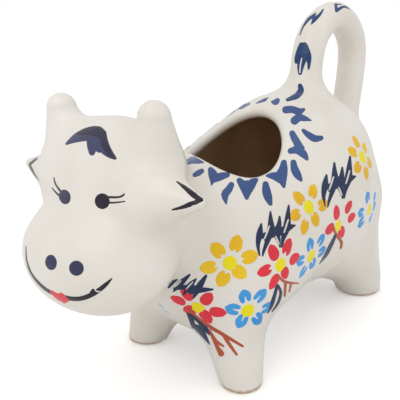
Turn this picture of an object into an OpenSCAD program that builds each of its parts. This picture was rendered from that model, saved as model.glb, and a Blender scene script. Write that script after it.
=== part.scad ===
// Cow creamer: a small glazed stoneware jug shaped as a standing cow.
// Millimetres, floor at zero height, head toward -X, tail toward +X, left flank toward -Y.
// The clay is rolled and pressed: every piece is a few tapered rolls and balls whose meetings
// are smoothed over, and every luted piece ends in a seat that follows the skin it sits on.
// Each part is placed from the one that carries it, starting with the chest.

/* [Trunk] */
// Radius of the chest
chest_radius = 31.2; // [29.5:0.1:33]
// Height of the belly under the chest above the floor
belly_height = 7.7; // [6.5:0.1:9]
// From the chest's centre back to the loin's
barrel_length = 39.4; // [36:0.1:43]
// Rise of the loin's centre over the chest's
loin_rise = 12.4; // [11:0.1:14]
// Radius of the loin
loin_radius = 33.7; // [32:0.1:35]
// From the loin's centre back to the haunch's
haunch_behind = 14.2; // [13:0.1:15.5]
// Rise of the haunch's centre over the loin's
haunch_rise = 5.9; // [5:0.1:7]
// Half length of the haunch
haunch_length = 33; // [31:0.1:35]
// Half width of the haunch
haunch_width = 23; // [21:0.1:25]
// Half height of the haunch
haunch_height = 26.5; // [25:0.1:28]
// From the chest's centre forward to the neck's front end
neck_reach = 26.8; // [25:0.1:29]
// Rise of the neck's front end over the chest's centre
neck_rise = 18.6; // [17:0.1:20]
// Radius of the neck at the chest
neck_root_radius = 17; // [16:0.1:18]
// Radius of the neck at its front end
neck_end_radius = 15.5; // [14.8:0.1:16.2]
// How widely the trunk's rolls are smoothed into each other
trunk_smoothing = 10; // [8.5:0.5:11.5]
// Thickness of the clay wall
wall = 4; // [3.4:0.1:4.6]

/* [Fill opening] */
// From the chest's centre back to the middle of the opening
opening_behind = 3.7; // [2.5:0.1:5]
// Half length of the opening inside its lip
opening_length = 18.5; // [17:0.5:19.5]
// Half width of the opening inside its lip
opening_width = 18.5; // [17:0.5:19.5]
// Radius of the neck bore between trunk and head
neck_bore_radius = 9.5; // [8.5:0.25:9.5]

/* [Head] */
// From the neck's front end forward to the skull's centre
skull_ahead = 13.6; // [12.5:0.1:14.8]
// Rise of the skull's centre over the neck's front end
skull_rise = 13.4; // [12.4:0.1:14.5]
// How far the skull's ends stand from the middle plane
skull_reach = 8.7; // [8:0.1:9.5]
// Radius of the skull in the middle
skull_radius = 12.8; // [12.2:0.1:13.4]
// Radius of the skull at its ends
skull_end_radius = 11.9; // [11.3:0.1:12.5]
// From the skull's centre forward to the muzzle's
muzzle_ahead = 7.7; // [7:0.1:8.5]
// Drop of the muzzle's centre under the skull's
muzzle_drop = 23.1; // [22:0.1:24.2]
// Half length of the muzzle
muzzle_length = 18; // [17:0.1:19]
// Half width of the muzzle
muzzle_width = 23.6; // [22.5:0.1:24.7]
// Half height of the muzzle
muzzle_height = 16.1; // [15.3:0.1:17]
// From the neck's front end forward to the throat ball
throat_ahead = 11; // [10:0.1:12]
// Radius of the throat ball
throat_radius = 15; // [14:0.1:15.5]
// How widely skull and muzzle are smoothed into each other
face_smoothing = 8; // [7:0.5:9]
// How widely the head is smoothed into the neck
head_smoothing = 7; // [6:0.5:8]
// Radius of the pour hole under the smile
pour_radius = 4; // [3.5:0.25:4.5]
// Tilt of the pour hole below level, in degrees
pour_tilt = 64; // [60:1:68]

/* [Horns and ears] */
// From the skull's side in to a horn's root
horn_inset = 2.4; // [1.8:0.1:3]
// Rise of a horn's root over the skull's centre
horn_rise = 3.1; // [2.6:0.1:3.6]
// From the skull's centre forward to a horn's root
horn_ahead = 2.6; // [2.1:0.1:3.1]
// Height of a horn's tip ball over its root
horn_height = 10.7; // [9.8:0.1:11.8]
// How far a horn leans out, and forward, over its height
horn_lean = 1.1; // [0.8:0.1:1.4]
// Radius of a horn at its root
horn_root_radius = 7.1; // [6.7:0.1:7.5]
// Radius of a horn's tip ball
horn_tip_radius = 4.1; // [3.7:0.1:4.5]
// From the skull's side in to an ear's root
ear_inset = 1.7; // [1.3:0.1:2.1]
// Drop of an ear's root under the skull's centre
ear_drop = 5.4; // [5:0.1:5.9]
// From the skull's centre forward to an ear's root
ear_ahead = 4; // [3.6:0.1:4.4]
// Reach of an ear's tip ball out from its root
ear_length = 16.6; // [15.3:0.1:18]
// How far an ear leans up, and forward, over its length
ear_lean = 1.4; // [1.1:0.1:1.7]
// Radius of an ear at its root
ear_root_radius = 8.6; // [8.2:0.1:9]
// Radius of an ear's tip ball
ear_tip_radius = 1.6; // [1.3:0.1:2]
// How widely horns and ears are smoothed into the skull
crown_smoothing = 5; // [4.4:0.1:5.6]

/* [Legs] */
// From the chest's centre forward to a front hip
front_hip_ahead = 10.2; // [9.4:0.1:11]
// From the chest's side in to a front hip
front_hip_inset = 18.2; // [17.4:0.1:19]
// Drop of a front hip under the chest's centre
front_hip_drop = 9.8; // [9:0.1:10.6]
// How far a front foot stands forward of its hip
front_stride = 4.2; // [3.2:0.1:5.2]
// How far a front foot stands out from its hip
front_splay = 9.1; // [8.3:0.1:10]
// Radius of a front leg at its foot
front_foot_radius = 6.6; // [6:0.1:7.2]
// Radius of a front leg at its hip
front_hip_radius = 12.6; // [12:0.1:13.2]
// From the loin's centre back to a rear hip
rear_hip_behind = 21.5; // [20.5:0.1:22.5]
// From the loin's side in to a rear hip
rear_hip_inset = 17.7; // [17:0.1:18.4]
// Drop of a rear hip under the loin's centre
rear_hip_drop = 9.4; // [8.6:0.1:10.2]
// How far a rear foot stands behind its hip
rear_stride = 12.9; // [12:0.1:13.8]
// How far a rear foot stands out from its hip
rear_splay = 0.2; // [0:0.1:0.8]
// Radius of a rear leg at its foot
rear_foot_radius = 9.3; // [8.7:0.1:9.9]
// Radius of a rear leg at its hip
rear_hip_radius = 11.4; // [11:0.1:11.9]
// How widely the legs are smoothed into the trunk
leg_smoothing = 7; // [6:0.5:8]
// How far the foot's bottom edge is rounded
foot_rounding = 1.2; // [0.8:0.1:1.6]
// Height of the foot's plain ankle over the floor
ankle_height = 6; // [5:0.5:7]

/* [Tail] */
// Height of the loop's top over its front root, along its middle line
loop_height = 41.7; // [39:0.1:44]
// Radius of the loop at its front
tail_front_radius = 5.8; // [5.4:0.1:6.2]
// Radius of the loop at its rear
tail_rear_radius = 5.4; // [5:0.1:5.8]
// Width of the loop across, as a share of its thickness
tail_width_share = 1.1; // [1:0.05:1.2]
// How widely the loop is smoothed into the back
tail_smoothing = 9; // [8:0.5:10]

/* [Fit] */
// Clearance between a luted piece and the skin under it
seat_gap = 0.25; // [0.2:0.05:0.3]
// Height of the step at a luted piece's edge
edge_step = 0.4; // [0.3:0.05:0.5]

/* [Hidden] */
glaze = [0.89, 0.87, 0.84];
shaded_glaze = [0.84, 0.82, 0.77];
// share of a smoothing width at which the smoothed skin has come down to the edge step
blend_share = 0.66;
// where between skull and muzzle the head's hollow has its middle
hollow_share = 0.47;
// the tail's roots, back and up, as shares of the loin's radius and of the haunch
front_root_shares = [0.31, 0.63];
rear_root_shares = [0.867, 0.408];
// front shoulder, top and rear shoulder of the loop, as shares of its length and height
loop_shares = [[0.13, 0.746], [0.69, 1], [1.166, 0.703]];
// how far a ray from a piece's heart may lean from its axis while its edge is looked for
widest_spread = 115;
// a small length over which slopes of the clay's field are measured
probe = 0.05;
// far enough outside every skin to start looking for it
outside = 85;
// lowest slope trusted while looking for the skin, and the square of the lowest steepness
least_slope = 0.3;
least_square = 0.1;
across = [0, 1, 0];
upward = [0, 0, 1];
onward = [1, 0, 0];

// the places in space, each from the part that carries it
chest = [0, 0, belly_height + chest_radius];
loin = chest + [barrel_length, 0, loin_rise];
haunch = loin + [haunch_behind, 0, haunch_rise];
haunch_radii = [haunch_length, haunch_width, haunch_height];
neck = chest + [-neck_reach, 0, neck_rise];
neck_way = unit(neck - chest);
throat = neck - throat_ahead * onward;
skull = neck + [-skull_ahead, 0, skull_rise];
skull_end = skull + skull_reach * across;
skull_side = skull + (skull_reach + skull_end_radius) * across;
muzzle = skull - [muzzle_ahead, 0, muzzle_drop];
muzzle_radii = [muzzle_length, muzzle_width, muzzle_height];
hollow = mix(skull, muzzle, hollow_share) - (muzzle_length - neck_end_radius) * onward;
horn_root = skull_side + [-horn_ahead, -horn_inset, horn_rise];
horn_tip = horn_root + [-horn_lean, horn_lean, horn_height];
ear_root = skull_side - [ear_ahead, ear_inset, ear_drop];
ear_tip = ear_root + [-ear_lean, ear_length, ear_lean];
front_hip = chest + [-front_hip_ahead, chest_radius - front_hip_inset, -front_hip_drop];
front_foot = [front_hip.x - front_stride, front_hip.y + front_splay, 0];
rear_hip = loin + [rear_hip_behind, loin_radius - rear_hip_inset, -rear_hip_drop];
rear_foot = [rear_hip.x + rear_stride, rear_hip.y + rear_splay, 0];
front_root = loin + loin_radius * in_middle(front_root_shares);
rear_root = haunch + [rear_root_shares[0] * haunch_length, 0, rear_root_shares[1] * haunch_height];
loop_length = rear_root.x - front_root.x;
tail_line = [front_root,
             for (s = loop_shares) front_root + [s[0] * loop_length, 0, s[1] * loop_height],
             rear_root];
lip_radius = wall / 2;

function in_middle(a) = [a.x, 0, a.y];
function unit(v) = v / norm(v);
function mix(a, b, s) = a + (b - a) * s;
function folded(p) = [p.x, abs(p.y), p.z];

// distance to a tapered roll, to a ball of three radii, and two of them smoothed together
function roll(p, a, b, ra, rb) =
    let (ab = b - a, h = max(0, min(1, (p - a) * ab / (ab * ab))))
    norm(p - a - h * ab) - mix(ra, rb, h);
function scaled(p, r) = [p.x / r.x, p.y / r.y, p.z / r.z];
function ball(p, c, r) =
    let (q = scaled(p - c, r), k = norm(q))
    k == 0 ? -min(r) : k * (k - 1) / norm(scaled(q, r));
function smooth(a, b, width) =
    min(a, b) - pow(max(width - abs(a - b), 0) / width, 2) * width / 4;

// the clay's field: negative inside, zero on the skin
function trunk_field(p) =
    smooth(smooth(roll(p, chest, loin, chest_radius, loin_radius),
                  ball(p, haunch, haunch_radii), trunk_smoothing),
           roll(p, chest, neck, neck_root_radius, neck_end_radius), trunk_smoothing);
function face_field(p) =
    smooth(smooth(roll(p, skull, skull_end, skull_radius, skull_end_radius),
                  ball(p, muzzle, muzzle_radii), face_smoothing),
           norm(p - throat) - throat_radius, head_smoothing);
function body_field(p) = smooth(trunk_field(p), face_field(p), head_smoothing);
function horned_field(p) =
    smooth(body_field(p), roll(p, horn_root, horn_tip, horn_root_radius, horn_tip_radius),
           crown_smoothing);

// looking for the skin along a ray, and letting a point settle onto it
function slope(f, p, way) = (f(p + probe * way) - f(p)) / probe;
function steepest(f, p) = [slope(f, p, onward), slope(f, p, across), slope(f, p, upward)];
function reach(f, from, way, t, lift, rounds = 7) =
    rounds == 0 ? t :
    let (p = from + t * way, s = max(slope(f, p, way), least_slope))
    reach(f, from, way, t - (f(p) - lift) / s, lift, rounds - 1);
function skin_point(f, from, way, lift = 0) = from + way * reach(f, from, way, outside, lift);
// the first skin met on the way out, for a hollow with more clay behind it
function walk(f, from, way, lift, t = 0, rounds = 16) =
    rounds == 0 ? t : walk(f, from, way, lift, t - (f(from + t * way) - lift), rounds - 1);
function first_skin(f, from, way, lift = 0) =
    from + way * reach(f, from, way, walk(f, from, way, lift), lift, 2);
function settle(f, p, lift = 0, rounds = 4) =
    rounds == 0 ? p :
    let (g = steepest(f, p))
    settle(f, p - g * (f(p) - lift) / max(g * g, least_square), lift, rounds - 1);

// turning a direction toward another one
function turned(a, b, s) =
    let (angle = acos(a * b))
    (a * sin(angle * (1 - s)) + b * sin(angle * s)) / sin(angle);
function ring_way(axis, side, angle, spread) =
    let (e = unit(side - axis * (side * axis)), f = cross(e, axis))
    axis * cos(spread) + (e * cos(angle) + f * sin(angle)) * sin(spread);

// the loop's middle line, bent smoothly through its named places
tail_around = 20;
tail_steps = 5;
function bent(a, b, c, d, s) =
    (2 * b + (c - a) * s + (2 * a - 5 * b + 4 * c - d) * s * s + (3 * b - a - 3 * c + d) * s * s * s) / 2;
function tail_at(i) =
    let (last = len(tail_line) - 1, k = min(floor(i / tail_steps), last - 1), s = i / tail_steps - k)
    bent(tail_line[max(k - 1, 0)], tail_line[k], tail_line[k + 1], tail_line[min(k + 2, last)], s);
tail_count = tail_steps * (len(tail_line) - 1);
tail_points = [for (i = [0:tail_count]) tail_at(i)];
function tail_radius(i) = mix(tail_front_radius, tail_rear_radius, i / tail_count);

// the creamer stands with the middle of its length over the origin
middle_of_length = (muzzle.x - muzzle_length
                    + max([for (i = [0:tail_count]) tail_points[i].x + tail_radius(i)])) / 2;
module placed() translate([-middle_of_length, 0, 0]) children();

// a closed skin through rings of points, from one pole to another
module closed_skin(first, rings, last, tint) {
    around = len(rings[0]);
    count = len(rings);
    points = concat([first], [for (r = rings) each r], [last]);
    function at(i, j) = 1 + i * around + j % around;
    color(tint)
        polyhedron(points, concat(
            [for (j = [0:around - 1]) [0, at(0, j), at(0, j + 1)]],
            [for (i = [0:count - 2], j = [0:around - 1]) each
                [[at(i, j), at(i + 1, j), at(i + 1, j + 1)], [at(i, j), at(i + 1, j + 1), at(i, j + 1)]]],
            [for (j = [0:around - 1]) [len(points) - 1, at(count - 1, j + 1), at(count - 1, j)]]),
            convexity = 8);
}

// the ring, on the skin under a piece, where that piece's own field comes to a wanted value
function edge_spread(base, piece, from, axis, side, angle, wanted, lift, low, high, rounds = 8) =
    rounds == 0 ? (low + high) / 2 :
    let (middle = (low + high) / 2,
         p = first_skin(base, from, ring_way(axis, side, angle, middle), lift),
         wide = piece(p) > wanted)
    edge_spread(base, piece, from, axis, side, angle, wanted, lift, wide ? low : middle,
                wide ? middle : high, rounds - 1);
function ring_at(base, piece, from, axis, side, around, wanted, lift) =
    [for (j = [0:around - 1])
        let (angle = 360 * j / around,
             spread = edge_spread(base, piece, from, axis, side, angle, wanted, lift, 0, widest_spread))
        first_skin(base, from, ring_way(axis, side, angle, spread), lift)];
// the edge of a luted piece, where its smoothed skin has come down to the skin under it
function edge_ring(base, piece, from, axis, side, around, smoothing) =
    ring_at(base, piece, from, axis, side, around, blend_share * smoothing, edge_step);
function seat_rings(base, edge, middle, shares) =
    [for (s = shares) [for (p = edge) settle(base, mix(p, middle, s), seat_gap)]];
function fillet_rings(f, low, high, shares) =
    [for (s = shares) [for (j = [0:len(low) - 1]) settle(f, mix(low[j], high[j], s))]];
function reversed_rings(rings) = [for (i = [len(rings) - 1:-1:0]) rings[i]];

// Trunk: a hollow barrel open at the back, its rim rolled over from the outer to the inner skin
trunk_around = 64;
trunk_middle_share = 0.55;
trunk_middle = mix(chest, loin, trunk_middle_share);
// how far, in degrees, rays lean toward the breast and the rump, which lie farthest away
crowding = 13;
trunk_field_folded = function (p) trunk_field(folded(p));
function lip_centre(angle) =
    let (x = opening_behind + (opening_length + lip_radius) * cos(angle),
         y = (opening_width + lip_radius) * sin(angle),
         low = [x, y, trunk_middle.z])
    skin_point(trunk_field_folded, low, upward, -lip_radius);
function lip_point(angle, turn) =
    let (c = lip_centre(angle),
         out = unit(steepest(trunk_field_folded, c)),
         level = [-cos(angle), -sin(angle), 0],
         inward = unit(level - out * (level * out)))
    c + lip_radius * (out * cos(turn) + inward * sin(turn));

module trunk_shell() {
    down = -upward;
    belly_count = 12;
    back_count = 11;
    inner_count = 6;
    lip_turns = [0, 45, 90, 135, 180];
    f = trunk_field_folded;
    turns = [for (j = [0:trunk_around - 1]) 360 * j / trunk_around];
    level = [for (a = turns) let (b = a - crowding * sin(2 * a)) [cos(b), sin(b), 0]];
    lips = [for (turn = lip_turns) [for (a = turns) lip_point(a, turn)]];
    last = len(lips) - 1;
    places = [for (j = [0:trunk_around - 1]) j];
    belly = [for (i = [1:belly_count]) [for (j = places)
        skin_point(f, trunk_middle, turned(down, level[j], i / belly_count))]];
    back = [for (i = [1:back_count - 1]) [for (j = places)
        skin_point(f, trunk_middle, turned(level[j], unit(lips[0][j] - trunk_middle), i / back_count))]];
    inner_back = [for (i = [1:inner_count]) [for (j = places)
        skin_point(f, trunk_middle, turned(unit(lips[last][j] - trunk_middle), level[j],
                                           i / inner_count), -wall)]];
    inner_belly = [for (i = [1:inner_count - 1]) [for (j = places)
        skin_point(f, trunk_middle, turned(level[j], down, i / inner_count), -wall)]];
    placed() difference() {
        closed_skin(skin_point(f, trunk_middle, down), concat(belly, back, lips, inner_back, inner_belly),
                    skin_point(f, trunk_middle, down, -wall), glaze);
        translate(neck)
            rotate([0, -acos(neck_way.z), 0])
                cylinder(h = outside, r = neck_bore_radius, $fn = 64);
    }
}

// Head: a hollow cup of skull and muzzle, open over the neck, pierced for pouring
head_around = 48;
head_seat_shares = [0.05, 0.35, 0.68];
even_shares = [0.25, 0.5, 0.75];

module head_shell() {
    face = function (p) body_field(folded(p));
    plain = function (p) face_field(folded(p));
    base = trunk_field_folded;
    ahead = unit(hollow - neck);
    outer_count = 20;
    rayed_count = 16;
    inner_count = 9;
    edge = edge_ring(base, plain, neck, neck_way, across, head_around, head_smoothing);
    // the hollow's own rim, where the inner skin of the cup comes down onto the neck
    rim = ring_at(base, face, neck, neck_way, across, head_around, -wall, seat_gap);
    seat = [for (s = head_seat_shares) [for (j = [0:head_around - 1])
        settle(base, mix(edge[j], rim[j], s), seat_gap)]];
    rayed = [for (i = [1:rayed_count]) [for (p = edge)
        first_skin(face, hollow, turned(ahead, unit(p - hollow), i / outer_count))]];
    outer = concat(rayed, fillet_rings(face, rayed[rayed_count - 1], edge, even_shares));
    inner = [for (i = [1:inner_count - 1]) [for (p = rim)
        first_skin(face, hollow, turned(unit(p - hollow), ahead, i / inner_count), -wall)]];
    placed() difference() {
        closed_skin(first_skin(face, hollow, ahead), concat(outer, [edge], seat, [rim], inner),
                    first_skin(face, hollow, ahead, -wall), glaze);
        translate(muzzle)
            rotate([0, -90 - pour_tilt, 0])
                cylinder(h = outside, r = pour_radius, $fn = 48);
    }
}

// Leg: a solid tapered stub from a flat foot to a seat under the trunk
leg_around = 24;
leg_fillet_shares = [0.3, 0.55, 0.8];
leg_seat_shares = [0.04, 0.36, 0.68];
module leg(foot, hip, foot_radius, hip_radius) {
    way = unit(foot - hip);
    base = trunk_field_folded;
    piece = function (p) roll(p, foot, hip, foot_radius, hip_radius);
    both = function (p) smooth(body_field(folded(p)), piece(folded(p)), leg_smoothing);
    function column(height, radius) = [for (j = [0:leg_around - 1])
        let (c = mix(foot, hip, height / hip.z), e = ring_way(way, onward, 360 * j / leg_around, 90))
        [c.x + e.x * radius, c.y + e.y * radius, height]];
    function taper(height) = mix(foot_radius, hip_radius, height / hip.z);
    ankle = column(ankle_height, taper(ankle_height));
    edge = edge_ring(base, piece, hip, way, onward, leg_around, leg_smoothing);
    middle = first_skin(base, hip, way, seat_gap);
    closed_skin(foot, concat(
        [column(0, foot_radius - foot_rounding), column(foot_rounding, taper(foot_rounding)), ankle],
        fillet_rings(both, ankle, edge, leg_fillet_shares), [edge],
        seat_rings(base, edge, middle, leg_seat_shares)), middle, shaded_glaze);
}

// Horn or ear: a solid stub with a round tip, seated on the skull
crown_around = 24;
crown_fillet_shares = [0.2, 0.42, 0.64, 0.84];
crown_seat_shares = [0.04, 0.28, 0.52, 0.76];
// where in the skull a horn's or ear's rays start, and how its round tip is stepped in degrees
heart_share = 0.5;
tip_spreads = [35, 75];
module crown_piece(root, tip, root_radius, tip_radius, base) {
    heart = mix(root, skull, heart_share);
    way = unit(tip - heart);
    piece = function (p) roll(p, root, tip, root_radius, tip_radius);
    both = function (p) smooth(base(p), piece(p), crown_smoothing);
    edge = edge_ring(base, piece, heart, way, onward, crown_around, crown_smoothing);
    middle = first_skin(base, heart, way, seat_gap);
    cap = [for (spread = tip_spreads) [for (j = [0:crown_around - 1])
        tip + tip_radius * ring_way(way, onward, 360 * j / crown_around, spread)]];
    closed_skin(tip + way * tip_radius, concat(cap,
        fillet_rings(both, cap[len(cap) - 1], edge, crown_fillet_shares), [edge],
        seat_rings(base, edge, middle, crown_seat_shares)), middle, shaded_glaze);
}

// Tail handle: an upright loop in the middle plane, both roots seated on the back
tail_seat_shares = [0.05, 0.35, 0.68];
// how many steps of the middle line are left to each root's smoothed foot
root_steps = 4;
function squeezed(p) = [p.x, p.y / tail_width_share, p.z];
function limb_field(p, first, last) = let (q = squeezed(p))
    min([for (i = [first:last])
        roll(q, tail_points[i], tail_points[i + 1], tail_radius(i), tail_radius(i + 1))]);
function tail_field(p) = limb_field(p, 0, tail_count - 1);
function tail_ring(i) =
    let (way = unit(tail_points[i + 1] - tail_points[i - 1]), out = cross(way, across), r = tail_radius(i))
    [for (j = [0:tail_around - 1])
        let (angle = 360 * j / tail_around)
        tail_points[i] + r * (across * tail_width_share * cos(angle) + out * sin(angle))];
function tail_root(heart, way, first, last) =
    edge_ring(trunk_field_folded, function (p) limb_field(p, first, last), heart, way, across,
              tail_around, tail_smoothing);

module tail_handle() {
    base = trunk_field_folded;
    both = function (p) smooth(base(p), tail_field(p), tail_smoothing);
    first = root_steps;
    last = tail_count - root_steps;
    front_heart = tail_points[0];
    front_way = unit(tail_points[1] - front_heart);
    rear_heart = mix(tail_points[tail_count], haunch, heart_share);
    rear_way = unit(tail_points[last] - rear_heart);
    start = tail_root(front_heart, front_way, 0, tail_steps);
    // the front root's ring runs the other way round, so it is turned to match
    front_edge = [for (j = [0:tail_around - 1]) start[(tail_around - j) % tail_around]];
    rear_edge = tail_root(rear_heart, rear_way, tail_count - tail_steps, tail_count - 1);
    front_middle = first_skin(base, front_heart, front_way, seat_gap);
    rear_middle = first_skin(base, rear_heart, rear_way, seat_gap);
    placed() closed_skin(front_middle, concat(
        reversed_rings(seat_rings(base, front_edge, front_middle, tail_seat_shares)), [front_edge],
        fillet_rings(both, front_edge, tail_ring(first), even_shares),
        [for (i = [first:last]) tail_ring(i)],
        fillet_rings(both, tail_ring(last), rear_edge, even_shares),
        [rear_edge], seat_rings(base, rear_edge, rear_middle, tail_seat_shares)), rear_middle, glaze);
}

module front_right_leg() { placed() leg(front_foot, front_hip, front_foot_radius, front_hip_radius); }
module front_left_leg() { mirror(across) front_right_leg(); }
module rear_right_leg() { placed() leg(rear_foot, rear_hip, rear_foot_radius, rear_hip_radius); }
module rear_left_leg() { mirror(across) rear_right_leg(); }
module right_horn() {
    skin = function (p) body_field(folded(p));
    placed() crown_piece(horn_root, horn_tip, horn_root_radius, horn_tip_radius, skin);
}
module left_horn() { mirror(across) right_horn(); }
module right_ear() {
    skin = function (p) horned_field(folded(p));
    placed() crown_piece(ear_root, ear_tip, ear_root_radius, ear_tip_radius, skin);
}
module left_ear() { mirror(across) right_ear(); }

trunk_shell();
head_shell();
front_left_leg();
front_right_leg();
rear_left_leg();
rear_right_leg();
left_horn();
right_horn();
left_ear();
right_ear();
tail_handle();
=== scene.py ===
import math
import bpy
import numpy as np
from mathutils import Matrix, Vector
from mathutils.bvhtree import BVHTree


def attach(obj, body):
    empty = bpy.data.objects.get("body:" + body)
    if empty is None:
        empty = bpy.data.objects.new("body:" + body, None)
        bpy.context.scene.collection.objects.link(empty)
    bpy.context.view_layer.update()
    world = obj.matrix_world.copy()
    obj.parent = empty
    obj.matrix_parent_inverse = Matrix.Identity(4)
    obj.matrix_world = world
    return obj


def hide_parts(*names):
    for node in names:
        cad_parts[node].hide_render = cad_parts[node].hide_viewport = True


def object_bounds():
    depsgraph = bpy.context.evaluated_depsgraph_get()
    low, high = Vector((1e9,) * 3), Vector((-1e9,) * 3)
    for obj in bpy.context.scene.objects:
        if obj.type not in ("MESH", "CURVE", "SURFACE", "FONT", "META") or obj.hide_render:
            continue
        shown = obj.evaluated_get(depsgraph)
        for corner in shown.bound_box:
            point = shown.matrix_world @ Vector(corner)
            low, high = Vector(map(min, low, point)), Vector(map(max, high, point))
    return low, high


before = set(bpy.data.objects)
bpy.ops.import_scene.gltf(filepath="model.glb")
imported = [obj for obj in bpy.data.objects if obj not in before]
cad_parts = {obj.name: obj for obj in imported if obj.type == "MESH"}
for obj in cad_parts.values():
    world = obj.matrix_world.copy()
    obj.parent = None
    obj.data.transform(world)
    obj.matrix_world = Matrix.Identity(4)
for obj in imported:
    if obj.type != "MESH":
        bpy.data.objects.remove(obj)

# The creamer as it comes out of the kiln: eleven luted clay pieces under one closed skin of glaze,
# with the brushwork lying in it. Sizes and places here are in millimetres until a mesh is made.
MM = 0.001
cad_low, cad_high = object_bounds()
NODES = ("trunk_shell", "head_shell", "front_left_leg", "front_right_leg", "rear_left_leg",
         "rear_right_leg", "left_horn", "right_horn", "left_ear", "right_ear", "tail_handle")

# Trunk, neck and fill opening
CHEST_RADIUS = 31.2
BELLY_HEIGHT = 7.7
BARREL_LENGTH = 39.4
LOIN_RISE = 12.4
LOIN_RADIUS = 33.7
HAUNCH_BEHIND = 14.2
HAUNCH_RISE = 5.9
HAUNCH_RADII = (33.0, 23.0, 26.5)
NECK_REACH = 26.8
NECK_RISE = 18.6
NECK_RADII = (17.0, 15.5)
TRUNK_SMOOTHING = 10.0
WALL = 4.0
OPENING_BEHIND = 3.7
OPENING_RADII = (18.5, 18.5)
BORE_RADIUS = 9.5
BORE_ROUNDING = 2.0
LIP = WALL / 2
LIP_REACH_SHARE = 1.05
STEEPEST_LEAN = 0.95

# Head
SKULL_AHEAD = 13.6
SKULL_RISE = 13.4
SKULL_REACH = 8.7
SKULL_RADII = (12.8, 11.9)
MUZZLE_AHEAD = 7.7
MUZZLE_DROP = 23.1
MUZZLE_RADII = (18.0, 23.6, 16.1)
THROAT_AHEAD = 11.0
THROAT_RADIUS = 15.0
FACE_SMOOTHING = 8.0
CHEEK_FILLING = 13.0
HEAD_SMOOTHING = 7.0
BROW_SOFTNESS = 3.0
POUR_RADIUS = 4.0
POUR_TILT = math.radians(64)

# Horns and ears: inset, forward shift and rise of the root, then way to the tip and both radii
HORN_ROOT = (-2.6, -2.4, 3.1)
HORN_WAY = (-1.1, 1.1, 10.7)
HORN_RADII = (7.1, 4.1)
EAR_ROOT = (-4.0, -1.7, -5.4)
EAR_WAY = (-1.4, 16.6, 1.4)
EAR_RADII = (8.6, 1.6)
CROWN_SMOOTHING = 5.0

# Legs: hip from the chest's or loin's centre, its inset from the side, way to the foot, radii.
# The thigh's ends are set from the rear hip and the rear foot.
FRONT_HIP = (-10.2, -18.2, -9.8)
FRONT_WAY = (-4.2, 9.1)
FRONT_RADII = (6.6, 12.6)
REAR_HIP = (21.5, -17.7, -9.4)
REAR_WAY = (12.9, 0.2)
REAR_RADII = (9.3, 11.4)
LEG_SMOOTHING = 7.0
THIGH_TOP = (-21.0, -3.0, -8.0)
THIGH_FOOT = (-4.5, 0.5, 7.5)
THIGH_RADII = (6.4, 15.5)
THIGH_SMOOTHING = 12.0
FOOT_ROUNDING = 1.2

# Tail loop
LOOP_HEIGHT = 41.7
TAIL_RADII = (5.8, 5.4)
TAIL_WIDTH_SHARE = 1.1
TAIL_SMOOTHING = 9.0
TAIL_STEPS = 5
FRONT_ROOT_SHARES = (0.31, 0.63)
REAR_ROOT_SHARES = (0.867, 0.408)
LOOP_SHARES = ((0.13, 0.746), (0.69, 1.0), (1.166, 0.703))

# Meshing the skin: the pitch of its grid, how far a slope is felt, and how its quads are evened
PITCH = 1.15
PROBE = 0.05
EVENING_SHARE = 0.6
EVENING_ROUNDS = 4
LEAST_SLOPE = 0.1
FAR = 1e3
TINY = 1e-9
SLIGHT = 1e-6


def place(x, y, z):
    return np.array([x, y, z], float)


# To the far side
MIRROR = place(1, -1, 1)

# The places, each from the piece that carries it, starting at the tip of the muzzle
chest = place(cad_low[0] / MM + MUZZLE_RADII[0] + MUZZLE_AHEAD + SKULL_AHEAD + NECK_REACH, 0,
              BELLY_HEIGHT + CHEST_RADIUS)
loin = chest + place(BARREL_LENGTH, 0, LOIN_RISE)
haunch = loin + place(HAUNCH_BEHIND, 0, HAUNCH_RISE)
neck = chest + place(-NECK_REACH, 0, NECK_RISE)
neck_way = (neck - chest) / np.linalg.norm(neck - chest)
throat = neck - place(THROAT_AHEAD, 0, 0)
skull = neck + place(-SKULL_AHEAD, 0, SKULL_RISE)
skull_end = skull + place(0, SKULL_REACH, 0)
skull_side = skull + place(0, SKULL_REACH + SKULL_RADII[1], 0)
muzzle = skull - place(MUZZLE_AHEAD, 0, MUZZLE_DROP)
horn_root = skull_side + HORN_ROOT
ear_root = skull_side + EAR_ROOT
front_hip = chest + place(FRONT_HIP[0], CHEST_RADIUS + FRONT_HIP[1], FRONT_HIP[2])
front_foot = place(front_hip[0] + FRONT_WAY[0], front_hip[1] + FRONT_WAY[1], 0)
rear_hip = loin + place(REAR_HIP[0], LOIN_RADIUS + REAR_HIP[1], REAR_HIP[2])
rear_foot = place(rear_hip[0] + REAR_WAY[0], rear_hip[1] + REAR_WAY[1], 0)
thigh_top = rear_hip + THIGH_TOP
thigh_foot = rear_foot + THIGH_FOOT
front_root = loin + LOIN_RADIUS * place(FRONT_ROOT_SHARES[0], 0, FRONT_ROOT_SHARES[1])
rear_root = haunch + place(REAR_ROOT_SHARES[0] * HAUNCH_RADII[0], 0,
                           REAR_ROOT_SHARES[1] * HAUNCH_RADII[2])
opening = chest + place(OPENING_BEHIND, 0, 0)


def bent(points, steps):
    """A smooth line through the points, with each stretch in the given number of steps."""
    points = np.array(points, float)
    last = len(points) - 1
    line = []
    for i in range(steps * last + 1):
        k = min(i // steps, last - 1)
        s = i / steps - k
        a, b, c, d = (points[j] for j in (max(k - 1, 0), k, k + 1, min(k + 2, last)))
        line.append((2 * b + (c - a) * s + (2 * a - 5 * b + 4 * c - d) * s * s
                     + (3 * b - a - 3 * c + d) * s ** 3) / 2)
    return np.array(line)


loop_length = rear_root[0] - front_root[0]
tail_line = bent([front_root]
                 + [front_root + place(s * loop_length, 0, t * LOOP_HEIGHT) for s, t in LOOP_SHARES]
                 + [rear_root], TAIL_STEPS)


def smooth(a, b, width):
    """The nearer of two distances, with the meeting smoothed over the width."""
    h = np.maximum(width - np.abs(a - b), 0) / width
    return np.minimum(a, b) - h * h * width / 4


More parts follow.
